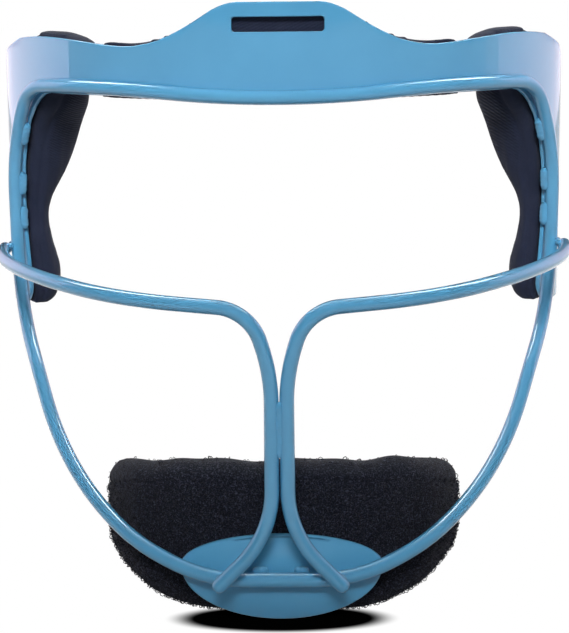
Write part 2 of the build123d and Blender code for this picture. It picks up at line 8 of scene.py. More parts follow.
import json
import logging
import math
from dataclasses import dataclass
from enum import Enum
from typing import Sequence

import bmesh
import bpy
import numpy as np
from bmesh.types import BMesh
from bpy.types import Material, Node, NodeSocket, Object
from mathutils import Matrix, Vector, noise

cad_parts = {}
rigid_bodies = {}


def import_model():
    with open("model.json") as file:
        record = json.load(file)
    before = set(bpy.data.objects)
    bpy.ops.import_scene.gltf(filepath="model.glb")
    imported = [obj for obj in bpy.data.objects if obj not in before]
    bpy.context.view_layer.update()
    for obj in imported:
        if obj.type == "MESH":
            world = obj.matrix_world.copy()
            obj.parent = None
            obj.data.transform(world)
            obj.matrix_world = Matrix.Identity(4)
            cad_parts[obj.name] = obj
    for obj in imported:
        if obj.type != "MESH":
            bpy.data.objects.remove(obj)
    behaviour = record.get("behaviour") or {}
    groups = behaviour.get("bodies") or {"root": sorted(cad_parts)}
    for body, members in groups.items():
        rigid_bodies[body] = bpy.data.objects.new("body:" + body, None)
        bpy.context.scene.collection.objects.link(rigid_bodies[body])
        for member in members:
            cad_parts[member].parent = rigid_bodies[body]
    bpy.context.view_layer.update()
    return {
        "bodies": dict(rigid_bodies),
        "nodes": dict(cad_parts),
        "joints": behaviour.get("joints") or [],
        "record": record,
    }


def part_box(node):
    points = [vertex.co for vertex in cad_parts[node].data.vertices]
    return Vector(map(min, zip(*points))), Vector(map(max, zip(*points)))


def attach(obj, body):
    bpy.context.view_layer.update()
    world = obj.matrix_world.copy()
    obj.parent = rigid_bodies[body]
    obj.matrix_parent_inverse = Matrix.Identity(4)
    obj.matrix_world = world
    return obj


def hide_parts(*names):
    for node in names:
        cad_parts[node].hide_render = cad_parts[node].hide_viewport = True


LOG = logging.getLogger("face_guard")
MM = 0.001
Colour = tuple[float, float, float]
Point2 = tuple[float, float]
Point3 = tuple[float, float, float]


class Side(Enum):
    """The two sides of the face, as seen from the front."""

    LEFT = -1.0
    RIGHT = 1.0

    @property
    def word(self) -> str:
        """Name used in node names."""
        return self.name.lower()


# Small helpers for meshes


def link(obj: Object) -> Object:
    """Puts an object into the scene and returns it."""
    bpy.context.scene.collection.objects.link(obj)
    return obj


def object_from_bmesh(name: str, shape: BMesh) -> Object:
    """Makes a linked object from a bmesh.

    Args:
        name: Name of the object and its mesh.
        shape: The bmesh, which is freed.

    Returns:
        The new object.
    """
    obj = link(bpy.data.objects.new(name, bpy.data.meshes.new(name)))
    finish_edit(obj, shape)
    return obj


def edit(obj: Object) -> BMesh:
    """Opens an object's mesh as a bmesh."""
    shape = bmesh.new()
    shape.from_mesh(obj.data)
    return shape


def finish_edit(obj: Object, shape: BMesh) -> None:
    """Writes a bmesh to an object and frees it."""
    shape.to_mesh(obj.data)
    shape.free()


def set_material(obj: Object, material: Material) -> None:
    """Gives an object one material on every face."""
    obj.data.materials.clear()
    obj.data.materials.append(material)


def dress(obj: Object, material: Material, body: str, *nodes: str) -> Object:
    """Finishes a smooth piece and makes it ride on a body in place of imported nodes.

    Args:
        obj: The piece.
        material: Its material, which knows its slot in the record.
        body: The body that carries it.
        nodes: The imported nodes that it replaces, if any.

    Returns:
        The piece.
    """
    obj.data.shade_smooth()
    set_material(obj, material)
    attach(obj, body)
    if nodes:
        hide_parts(*nodes)
    return obj


def baked(obj: Object, name: str) -> Object:
    """Turns an object with modifiers into a plain mesh object and removes the first.

    Args:
        obj: The object whose evaluated mesh is wanted.
        name: Name of the new object.

    Returns:
        The plain mesh object.
    """
    bpy.context.view_layer.update()
    graph = bpy.context.evaluated_depsgraph_get()
    mesh = bpy.data.meshes.new_from_object(obj.evaluated_get(graph), depsgraph=graph)
    bpy.data.objects.remove(obj, do_unlink=True)
    mesh.name = name
    return link(bpy.data.objects.new(name, mesh))


def copy_of_node(node: Object, name: str) -> Object:
    """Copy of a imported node's mesh, with its loose triangles joined."""
    shape = edit(node)
    bmesh.ops.remove_doubles(shape, verts=shape.verts, dist=0.002 * MM)
    return object_from_bmesh(name, shape)


def keep_outer_shell(obj: Object) -> None:
    """Deletes every loose part of a mesh but the one that holds its furthest point."""
    shape = edit(obj)
    far = max(shape.verts, key=lambda vert: vert.co.length)
    kept, grow = {far}, [far]
    while grow:
        near = {vert for edge in grow.pop().link_edges for vert in edge.verts} - kept
        kept |= near
        grow += near
    bmesh.ops.delete(shape, geom=[vert for vert in shape.verts if vert not in kept], context="VERTS")
    finish_edit(obj, shape)


def voxel_remesh(obj: Object, size: float) -> Object:
    """Remeshes a closed shape into even quads of about one size."""
    step = obj.modifiers.new("even", "REMESH")
    step.mode = "VOXEL"
    step.voxel_size = size
    step.use_smooth_shade = True
    return baked(obj, obj.name)


def per_vertex(obj: Object, what: str) -> np.ndarray:
    """Rows of "co" or "normal" at an object's vertices."""
    flat = np.empty(len(obj.data.vertices) * 3, np.float32)
    obj.data.vertices.foreach_get(what, flat)
    return flat.reshape(-1, 3).astype(float)


def set_coords(obj: Object, spots: np.ndarray) -> None:
    """Writes vertex positions back to an object's mesh."""
    obj.data.vertices.foreach_set("co", spots.astype(np.float32).ravel())
    obj.data.update()


def set_share(obj: Object, name: str, shares: np.ndarray) -> None:
    """Stores a share from 0 to 1 at each vertex under a name."""
    obj.data.attributes.new(name, "FLOAT", "POINT").data.foreach_set("value", shares.astype(np.float32))


def relax(obj: Object, rounds: int, strength: float = 0.5) -> None:
    """Evens out a mesh by moving each vertex towards its neighbours."""
    edges = np.empty(len(obj.data.edges) * 2, np.int32)
    obj.data.edges.foreach_get("vertices", edges)
    first, second = edges.reshape(-1, 2).T
    spots = per_vertex(obj, "co")
    count = np.bincount(np.concatenate([first, second]), minlength=len(spots))[:, None]
    for turn in range(rounds * 2):
        total = np.zeros_like(spots)
        np.add.at(total, first, spots[second])
        np.add.at(total, second, spots[first])
        pull = strength if turn % 2 == 0 else -strength * 0.96
        spots += pull * (total / np.maximum(count, 1) - spots)
    set_coords(obj, spots)


def round_corners(points: Sequence[Point2], radii: Sequence[float], steps: int = 8) -> list[Point2]:
    """Polyline with tangent arcs at its inner corners.

    Args:
        points: Corners of an open polyline.
        radii: One radius for each inner corner.
        steps: Chords in each arc.

    Returns:
        The points of the rounded line.
    """
    line = [points[0]]
    for before, corner, after, radius in zip(points, points[1:], points[2:], radii):
        middle = Vector(corner)
        back = (Vector(before) - middle).normalized()
        on = (Vector(after) - middle).normalized()
        turn = math.pi - back.angle(on)
        centre = middle + (back + on).normalized() * radius / math.cos(turn / 2)
        start = middle + back * radius * math.tan(turn / 2) - centre
        end = middle + on * radius * math.tan(turn / 2) - centre
        for i in range(steps + 1):
            share = i / steps
            spot = centre + (start * math.sin((1 - share) * turn) + end * math.sin(share * turn)) / math.sin(turn)
            line.append((spot.x, spot.y))
    line.append(points[-1])
    return line


# Geometry and shader node helpers


@dataclass(frozen=True)
class NodeTree:
    """A node tree with short calls for placing and joining its nodes."""

    tree: bpy.types.NodeTree

    def add(self, kind: str, feeds: dict[str | int, object] | None = None, **settings: object) -> Node:
        """Adds a node.

        Args:
            kind: The node's type.
            feeds: A value or a socket for each of its inputs, by name or place.
            settings: The node's properties.

        Returns:
            The node.
        """
        node = self.tree.nodes.new(kind)
        for key, value in settings.items():
            setattr(node, key, value)
        self.feed(node, feeds or {})
        return node

    def feed(self, node: Node, feeds: dict[str | int, object]) -> None:
        """Sets or joins a node's inputs."""
        for key, value in feeds.items():
            slot = node.inputs[key]
            if isinstance(value, NodeSocket):
                self.tree.links.new(value, slot)
            elif slot.type == "RGBA":
                slot.default_value = (*value, 1.0)
            else:
                slot.default_value = value

    def math(self, operation: str, *parts: object) -> NodeSocket:
        """Adds a Math node whose inputs are numbers or sockets."""
        return self.add("ShaderNodeMath", dict(enumerate(parts)), operation=operation).outputs[0]

    def mix_colour(self, share: object, first: object, second: object) -> NodeSocket:
        """Adds a colour Mix node whose inputs are values or sockets."""
        return self.add("ShaderNodeMix", {0: share, 6: first, 7: second}, data_type="RGBA").outputs[2]

    def group(self, tree: bpy.types.NodeTree, **feeds: object) -> Node:
        """Adds a node group with its inputs."""
        return self.add("ShaderNodeGroup", feeds, node_tree=tree)

    def bump(self, height: NodeSocket, strength: float, distance: float) -> NodeSocket:
        """Adds a Bump node and returns its normal."""
        feeds = {"Height": height, "Strength": strength, "Distance": distance}
        return self.add("ShaderNodeBump", feeds).outputs["Normal"]

    def paint(self, geometry: NodeSocket, material: Material) -> None:
        """Ends a Geometry Nodes tree: real geometry with one material."""
        real = self.add("GeometryNodeRealizeInstances", {0: geometry})
        painted = self.add("GeometryNodeSetMaterial", {"Geometry": real.outputs[0], "Material": material})
        self.add("NodeGroupOutput", {0: painted.outputs[0]})


SOCKETS = {float: "NodeSocketFloat", int: "NodeSocketInt", tuple: "NodeSocketColor", None: "NodeSocketGeometry"}


def new_group(name: str, kind: str, inputs: dict[str, object], outputs: dict[str, object]) -> NodeTree:
    """Starts a node group with named sockets.

    Args:
        name: Name of the group.
        kind: Kind of tree, such as "ShaderNodeTree".
        inputs: Name of each input with its default, or None for geometry.
        outputs: Name of each output with a value of its kind.

    Returns:
        The group's tree.
    """
    tree = bpy.data.node_groups.new(name, kind)
    for way, sockets in (("INPUT", inputs), ("OUTPUT", outputs)):
        for label, value in sockets.items():
            place = SOCKETS[None if value is None else type(value)]
            socket = tree.interface.new_socket(label, in_out=way, socket_type=place)
            if value is not None:
                socket.default_value = value
    return NodeTree(tree)


def run_tree(obj: Object, tree: bpy.types.NodeTree, name: str, **values: float) -> Object:
    """Runs a Geometry Nodes tree on an object and turns the result into a plain mesh object.

    Args:
        obj: The object, which is removed.
        tree: The tree.
        name: Name of the new object.
        values: The tree's inputs by name, with _ for a space.

    Returns:
        The plain mesh object.
    """
    step = obj.modifiers.new(name, "NODES")
    step.node_group = tree
    for item in tree.interface.items_tree:
        key = item.name.replace(" ", "_")
        if item.in_out == "INPUT" and key in values:
            step[item.identifier] = values[key]
    return baked(obj, name)


def new_material(name: str) -> tuple[Material, NodeTree, Node]:
    """Starts a material for a slot of the record and returns it with its tree and its shader."""
    material = bpy.data.materials.new(name)
    material["slot"] = name
    material.use_nodes = True
    return material, NodeTree(material.node_tree), material.node_tree.nodes["Principled BSDF"]


class EffectGroups:
    """Shader node groups that several finishes share, each built once."""

    def __init__(self) -> None:
        """Builds the groups."""
        self.grain = self._grain()
        self.drift = self._drift()
        self.ribs = self._ribs()

    @staticmethod
    def _grain() -> bpy.types.NodeTree:
        """Fine even grain: a height that varies over the surface."""
        net = new_group("fine_grain", "ShaderNodeTree", {"Scale": 900.0, "Detail": 2.0}, {"Height": 0.0})
        start = net.add("NodeGroupInput").outputs
        place = net.add("ShaderNodeTexCoord").outputs["Object"]
        feeds = {"Vector": place, "Scale": start["Scale"], "Detail": start["Detail"]}
        net.add("NodeGroupOutput", {"Height": net.add("ShaderNodeTexNoise", feeds).outputs[0]})
        return net.tree

    @staticmethod
    def _drift() -> bpy.types.NodeTree:
        """Broad uneven patches: a colour that drifts between two others."""
        black = (0.0, 0.0, 0.0, 1.0)
        inputs = {"Scale": 40.0, "Contrast": 1.0, "First": black, "Second": black}
        net = new_group("colour_drift", "ShaderNodeTree", inputs, {"Colour": black, "Share": 0.0})
        start = net.add("NodeGroupInput").outputs
        place = net.add("ShaderNodeTexCoord").outputs["Object"]
        cloud = net.add("ShaderNodeTexNoise", {"Detail": 4.0, "Vector": place, "Scale": start["Scale"]})
        spread = net.math("SUBTRACT", cloud.outputs[0], 0.5)
        share = net.math("MULTIPLY_ADD", spread, start["Contrast"], 0.5)
        colour = net.mix_colour(share, start["First"], start["Second"])
        net.add("NodeGroupOutput", {"Colour": colour, "Share": share})
        return net.tree

    @staticmethod
    def _ribs() -> bpy.types.NodeTree:
        """Knitted ribs that slant across a piece's UV map, with loops along each rib."""
        inputs = {"Pitch": 1.0, "Slope": 0.7, "Loops": 1.6}
        net = new_group("knit_ribs", "ShaderNodeTree", inputs, {"Height": 0.0})
        start = net.add("NodeGroupInput").outputs
        place = net.add("ShaderNodeTexCoord").outputs["UV"]
        split = net.add("ShaderNodeSeparateXYZ", {0: place}).outputs
        across = net.math("MULTIPLY_ADD", split[1], start["Slope"], split[0])
        turns = net.math("DIVIDE", across, start["Pitch"])
        rib = net.math("SINE", net.math("MULTIPLY", turns, math.tau))
        along = net.math("MULTIPLY", net.math("DIVIDE", split[1], start["Pitch"]), start["Loops"])
        loop = net.math("SINE", net.math("MULTIPLY", along, math.tau))
        both = net.math("MULTIPLY_ADD", loop, 0.35, rib)
        net.add("NodeGroupOutput", {"Height": net.math("MULTIPLY_ADD", both, 0.37, 0.5)})
        return net.tree


@dataclass(frozen=True)
class PowderCoat:
    """Glossy light-blue powder coat over steel."""

    groups: EffectGroups
    name: str = "powder_coat_blue"
    colour: Colour = (0.090, 0.335, 0.560)
    deep: Colour = (0.076, 0.303, 0.520)
    roughness: float = 0.42
    coat: float = 1.0
    coat_roughness: float = 0.035
    peel_scale: float = 420.0
    peel_depth: float = 0.02

    def material(self) -> Material:
        """Builds the material: slight colour drift, orange peel and a clear coat."""
        material, net, shader = new_material(self.name)
        drift = net.group(self.groups.drift, Scale=55.0, Contrast=1.4, First=self.deep, Second=self.colour).outputs
        grain = net.group(self.groups.grain, Scale=self.peel_scale, Detail=1.0).outputs
        net.feed(shader, {
            "Coat Weight": self.coat, "Coat Roughness": self.coat_roughness, "Specular IOR Level": 0.15,
            "Base Color": drift["Colour"],
            "Roughness": net.math("MULTIPLY_ADD", drift["Share"], 0.08, self.roughness),
            "Normal": net.bump(grain["Height"], self.peel_depth, 0.3 * MM),
        })
        return material


@dataclass(frozen=True)
class Knit:
    """Dark navy brushed knit with fine slanting ribs."""

    groups: EffectGroups
    name: str = "pad_knit"
    colour: Colour = (0.018, 0.023, 0.046)
    worn: Colour = (0.031, 0.038, 0.070)
    pitch: float = 2.2 * MM
    slope: float = -2.2
    depth: float = 0.6
    sheen: float = 0.06

    def material(self) -> Material:
        """Builds the material: ribs with painted shade in their grooves, brushed fuzz and a faint sheen."""
        material, net, shader = new_material(self.name)
        ribs = net.group(self.groups.ribs, Pitch=self.pitch, Slope=self.slope).outputs["Height"]
        grain = net.group(self.groups.grain, Scale=1400.0).outputs["Height"]
        drift = net.group(self.groups.drift, Scale=90.0, Contrast=1.6, First=self.colour, Second=self.worn)
        share = net.add("ShaderNodeAttribute", attribute_name="ribbed").outputs["Fac"]
        ridge = net.math("MULTIPLY", ribs, share)
        # Painted shade: where the knit is ribbed, its grooves are coloured towards a darker copy of the knit;
        # elsewhere the knit is held 30 % of the way towards that copy.
        painted_rib_shading = net.math("ADD", ridge, net.math("MULTIPLY_ADD", share, -0.7, 0.7))
        dark = tuple(0.45 * part for part in self.colour)
        height = net.math("MULTIPLY_ADD", grain, 0.45, ridge)
        net.feed(shader, {
            "Sheen Weight": self.sheen, "Sheen Roughness": 0.5, "Specular IOR Level": 0.2,
            "Base Color": net.mix_colour(painted_rib_shading, dark, drift.outputs["Colour"]),
            "Roughness": net.math("MULTIPLY_ADD", grain, 0.2, 0.78),
            "Normal": net.bump(height, self.depth, 0.35 * MM),
        })
        return material


@dataclass(frozen=True)
class Terry:
    """Dark navy terry towelling."""

    groups: EffectGroups
    name: str = "pad_terry"
    colour: Colour = (0.0036, 0.0046, 0.0095)
    # Paler colour of the loop tips: painted light.
    tip: Colour = (0.066, 0.074, 0.112)
    scale: float = 2100.0
    depth: float = 0.9

    def material(self) -> Material:
        """Builds the material: painted light on the loop tips over painted shade at the roots, with a deep woolly
        bump.
        """
        material, net, shader = new_material(self.name)
        grain = net.group(self.groups.grain, Scale=self.scale, Detail=3.0).outputs["Height"]
        drift = net.group(self.groups.drift, Scale=900.0, Contrast=2.2, First=self.colour, Second=self.tip)
        # Painted light and shade: where the grain that also drives the bump is high, the colour turns to the paler
        # tip colour; where it is low, it stays at the dark root colour.
        painted_tip_share = net.math("MULTIPLY_ADD", grain, 4.5, -2.05)
        net.feed(shader, {
            "Sheen Weight": 0.05, "Sheen Roughness": 0.6, "Specular IOR Level": 0.15,
            "Base Color": net.mix_colour(painted_tip_share, self.colour, drift.outputs["Colour"]),
            "Roughness": net.math("MULTIPLY_ADD", grain, 0.1, 0.85),
            "Normal": net.bump(grain, self.depth, 0.6 * MM),
        })
        return material


@dataclass(frozen=True)
class HookTape:
    """Black hook tape: rows of small stiff hooks on a woven strip."""

    groups: EffectGroups
    name: str = "hook_tape"
    colour: Colour = (0.018, 0.018, 0.02)
    gleam: Colour = (0.07, 0.07, 0.075)

    def material(self) -> Material:
        """Builds the material: a speckle of painted glints on the hooks over a matte strip."""
        material, net, shader = new_material(self.name)
        grain = net.group(self.groups.grain, Scale=1100.0).outputs["Height"]
        # The paler speckle in the base colour is a painted glint on the hooks.
        net.feed(shader, {
            "Specular IOR Level": 0.4,
            "Base Color": net.mix_colour(grain, self.colour, self.gleam),
            "Roughness": net.math("MULTIPLY_ADD", grain, -0.3, 0.7),
            "Normal": net.bump(grain, 0.8, 0.4 * MM),
        })
        return material


@dataclass(frozen=True)
class Finishes:
    """The materials that the pieces share."""

    coat: Material
    knit: Material
    terry: Material
    tape: Material

    @classmethod
    def build(cls) -> Finishes:
        """Builds every material once."""
        groups = EffectGroups()
        return cls(*(kind(groups).material() for kind in (PowderCoat, Knit, Terry, HookTape)))


# The guard's plan, which the sheet, the wire and the pads all follow


@dataclass(frozen=True)
class GuardPlan:
    """Plan of the sheet's outer face: a broad brow bend, then a tighter one at each temple."""

    front_y: float = -24.6 * MM
    brow_r: float = 110.0 * MM
    temple_r: float = 45.0 * MM
    brow_deg: float = 61.0
    temple_deg: float = 26.0
    shift: Point3 = (0.0, 0.0, 0.0)

    @classmethod
    def from_frame(cls) -> GuardPlan:
        """Takes the plan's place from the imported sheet."""
        low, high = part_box("brow_plate")
        return cls(shift=(0.0, low.y - cls.front_y, high.z - SheetSizes.top_z))

    @property
    def centre_y(self) -> float:
        """Middle of the brow bend, before the shift."""
        return self.front_y + self.brow_r

    @property
    def bend_s(self) -> float:
        """Length along the outer face from the middle to the temple bend."""
        return self.brow_r * math.radians(self.brow_deg)

    @property
    def temple_centre(self) -> Point2:
        """Middle of the temple bend, before the shift."""
        return self.polar(self.brow_r - self.temple_r, math.radians(self.brow_deg))

    def turn_at(self, along: float) -> float:
        """Angle of the face's normal at a length along it, from straight ahead."""
        if along <= self.bend_s:
            return along / self.brow_r
        on = (along - self.bend_s) / self.temple_r
        return math.radians(self.brow_deg) + min(on, math.radians(self.temple_deg))

    def spot(self, along: float, depth: float) -> Point2:
        """Plan point at a length along the outer face and a depth behind it."""
        side = math.copysign(1.0, along)
        along = abs(along)
        turn = self.turn_at(along)
        if along <= self.bend_s:
            x, y = self.polar(self.brow_r - depth, turn)
            return side * x, y
        cx, cy = self.temple_centre
        reach = self.temple_r - depth
        past = max(along - self.bend_s - self.temple_r * math.radians(self.temple_deg), 0.0)
        x = cx + reach * math.sin(turn) + past * math.cos(turn)
        return side * x, cy - reach * math.cos(turn) + past * math.sin(turn)

    def along_at_x(self, x: float) -> float:
        """Length along the outer face at a distance from the middle, on the brow bend."""
        return self.brow_r * math.asin(min(x / self.brow_r, 1.0))

    def along_at_y(self, y: float) -> float:
        """Length along the outer face at a depth, before the shift."""
        edge_y = self.centre_y - self.brow_r * math.cos(math.radians(self.brow_deg))
        if y <= edge_y:
            return self.brow_r * math.acos((self.centre_y - y) / self.brow_r)
        cy = self.temple_centre[1]
        limit = math.radians(self.brow_deg + self.temple_deg)
        turn = math.acos(max(-1.0, min(1.0, (cy - y) / self.temple_r)))
        if turn <= limit:
            return self.bend_s + self.temple_r * (turn - math.radians(self.brow_deg))
        end_y = cy - self.temple_r * math.cos(limit)
        return self.bend_s + self.temple_r * math.radians(self.temple_deg) + (y - end_y) / math.sin(limit)

    def unbend(self, spots: np.ndarray) -> tuple[np.ndarray, np.ndarray, np.ndarray]:
        """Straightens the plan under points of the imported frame.

        Args:
            spots: Rows of x, y and z.

        Returns:
            Each point's length along the outer face, its depth behind it and its inward direction.
        """
        x = np.abs(spots[:, 0])
        y = spots[:, 1] - self.shift[1]
        brow = math.radians(self.brow_deg)
        cx, cy = self.temple_centre
        in_brow = np.arctan2(x, self.centre_y - y) <= brow
        from_x = x - np.where(in_brow, 0.0, cx)
        from_y = y - np.where(in_brow, self.centre_y, cy)
        turn = np.maximum(np.arctan2(from_x, -from_y), np.where(in_brow, 0.0, brow))
        radius = np.where(in_brow, self.brow_r, self.temple_r)
        along = np.where(in_brow, radius * turn, self.bend_s + radius * (turn - brow))
        reach = np.hypot(from_x, from_y)
        inward = np.stack([-from_x * np.sign(spots[:, 0]), -from_y, np.zeros_like(reach)], axis=1) / reach[:, None]
        return along, radius - reach, inward

    def place(self, x: float, y: float, z: float) -> Vector:
        """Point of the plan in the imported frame."""
        return Vector((x + self.shift[0], y + self.shift[1], z + self.shift[2]))

    def polar(self, radius: float, turn: float) -> Point2:
        """Plan point on a circle about the brow bend's middle, before the shift."""
        return radius * math.sin(turn), self.centre_y - radius * math.cos(turn)


@dataclass(frozen=True)
class SheetSizes:
    """Sizes of the brow sheet's flat blank."""

    thick: float = 1.5 * MM
    edge_r: float = 0.45 * MM
    top_z: float = 200.3 * MM
    foot_z: float = 91.0 * MM
    brow_z: float = 169.2 * MM


@dataclass(frozen=True)
class BrowSheet:
    """The brow sheet: one bent blank with a strap tab and two wings."""

    plan: GuardPlan
    sizes: SheetSizes = SheetSizes()
    top_line: tuple[Point2, ...] = (
        (10.0, 200.3), (13.5, 200.3), (15.8, 200.05), (17.8, 199.55), (19.8, 198.8), (21.9, 197.8),
        (24.0, 196.5), (26.2, 195.1), (28.6, 193.6), (31.0, 192.2), (33.5, 190.85), (36.5, 189.4),
        (40.0, 187.9), (44.0, 186.75), (48.5, 186.0), (53.0, 185.8), (58.0, 186.15), (64.0, 186.85),
        (70.0, 187.6), (76.0, 188.2), (81.0, 188.5), (85.5, 188.5), (89.5, 188.15), (93.0, 187.6),
    )
    wing_line: tuple[Point2, ...] = ((30.0, 187.3), (42.5, 182.15), (53.0, 168.0), (56.5, 116.0), (44.0, 91.0))
    wing_radii: tuple[float, ...] = (13.0, 13.0, 12.0)
    face_deg: float = 55.0
    edge_line: tuple[Point2, ...] = (
        (12.6, 91.0), (9.6, 91.2), (7.3, 92.2), (5.2, 93.9), (3.7, 95.9), (3.0, 98.2), (3.6, 103.0),
        (5.2, 112.0), (6.9, 124.0), (7.0, 134.0), (5.9, 143.0), (3.4, 151.5), (-0.4, 158.8), (-5.0, 164.0),
        (-8.4, 166.6), (-12.0, 168.5), (-16.0, 169.2),
    )
    strap_slot: tuple[float, float, float] = (30.5, 4.8, 193.0)
    side_slot: tuple[float, float, float] = (50.5, 5.0, 27.0)
    side_slot_heights: tuple[float, float] = (149.0, 116.0)
    slot_r: float = 1.0
    bend_step: float = 2.0 * MM
    sharp_deg: float = 50.0

    def _blank(self) -> list[Point2]:
        """Right half of the blank's outline down to the brow's lower edge, as lengths along and heights."""
        plan = self.plan
        outline = [(0.0, self.sizes.top_z)]
        outline += [(plan.along_at_x(x * MM), z * MM) for x, z in self.top_line]
        wing = round_corners(self.wing_line, self.wing_radii)
        outline += [(plan.along_at_y(y * MM), z * MM) for y, z in wing[1:]]
        face = plan.brow_r * math.radians(self.face_deg)
        outline += [(face + plan.brow_r * math.atan(s * MM / plan.brow_r), z * MM) for s, z in self.edge_line]
        outline.append((0.0, self.sizes.brow_z))
        return outline

    def _slots(self) -> list[list[Point2]]:
        """Outlines of the slots in the tab and the wings."""
        wide, high, height = (part * MM for part in self.strap_slot)
        slots = [(0.0, height, wide, high)]
        y, wide, high = (part * MM for part in self.side_slot)
        middle = self.plan.along_at_y(y)
        for height in self.side_slot_heights:
            slots += [(side.value * middle, height * MM, wide, high) for side in Side]
        outlines = []
        for x, z, wide, high in slots:
            left, right, low, top = x - wide / 2, x + wide / 2, z - high / 2, z + high / 2
            corners = [(x, low), (right, low), (right, top), (left, top), (left, low), (x, low)]
            outlines.append(round_corners(corners, [self.slot_r * MM] * 4, steps=4)[:-1])
        return outlines

    def build(self, coat: Material) -> Object:
        """Builds the bent sheet with rounded edges.

        Args:
            coat: The sheet's finish.

        Returns:
            The sheet.
        """
        half = self._blank()
        outline = half + [(-s, z) for s, z in reversed(half[1:-1])]
        curve = bpy.data.curves.new("brow_sheet_blank", "CURVE")
        curve.dimensions = "2D"
        curve.fill_mode = "BOTH"
        edge = self.sizes.edge_r
        for line in [outline, *self._slots()]:
            spline = curve.splines.new("POLY")
            spline.points.add(len(line) - 1)
            for point, (s, z) in zip(spline.points, line):
                point.co = (s, z, 0.0, 1.0)
            spline.use_cyclic_u = True
        curve.extrude = self.sizes.thick / 2 - edge
        curve.bevel_depth = edge
        curve.bevel_resolution = 3
        curve.offset = -edge
        sheet = baked(link(bpy.data.objects.new("brow_sheet_blank", curve)), "brow_sheet")
        shape = edit(sheet)
        bmesh.ops.remove_doubles(shape, verts=shape.verts, dist=0.01 * MM)
        reach = max(s for s, _ in half)
        for i in range(-int(reach / self.bend_step), int(reach / self.bend_step) + 1):
            bmesh.ops.bisect_plane(
                shape, geom=[*shape.verts, *shape.edges, *shape.faces], dist=0.002 * MM,
                plane_co=(i * self.bend_step, 0, 0), plane_no=(1, 0, 0))
        for vert in shape.verts:
            s, z, w = vert.co
            x, y = self.plan.spot(s, self.sizes.thick / 2 - w)
            vert.co = self.plan.place(x, y, z)
        bmesh.ops.recalc_face_normals(shape, faces=shape.faces)
        finish_edit(sheet, shape)
        dress(sheet, coat, "guard_frame", "brow_plate")
        sheet.data.set_sharp_from_angle(angle=math.radians(self.sharp_deg))
        return sheet


def wire_tree(coat: Material) -> bpy.types.NodeTree:
    """Geometry Nodes tree of a bent wire: rounds a path's corners by its points' radii and sweeps a circle."""
    inputs = {"Path": None, "Wire radius": 2.4 * MM, "Bend steps": 20, "Sides": 28}
    net = new_group("bent_wire", "GeometryNodeTree", inputs, {"Wire": None})
    start = net.add("NodeGroupInput").outputs
    bends = net.add("GeometryNodeInputRadius").outputs[0]
    feeds = {"Curve": start["Path"], "Radius": bends, "Count": start["Bend steps"]}
    fillet = net.add("GeometryNodeFilletCurve", feeds, mode="POLY")
    even = net.add("GeometryNodeSetCurveRadius", {"Curve": fillet.outputs[0], "Radius": 1.0})
    ring = net.add(
        "GeometryNodeCurvePrimitiveCircle", {"Resolution": start["Sides"], "Radius": start["Wire radius"]})
    tube = net.add(
        "GeometryNodeCurveToMesh",
        {"Curve": even.outputs[0], "Profile Curve": ring.outputs[0], "Fill Caps": True})
    net.paint(net.add("GeometryNodeSetShadeSmooth", {0: tube.outputs[0]}).outputs[0], coat)
    return net.tree


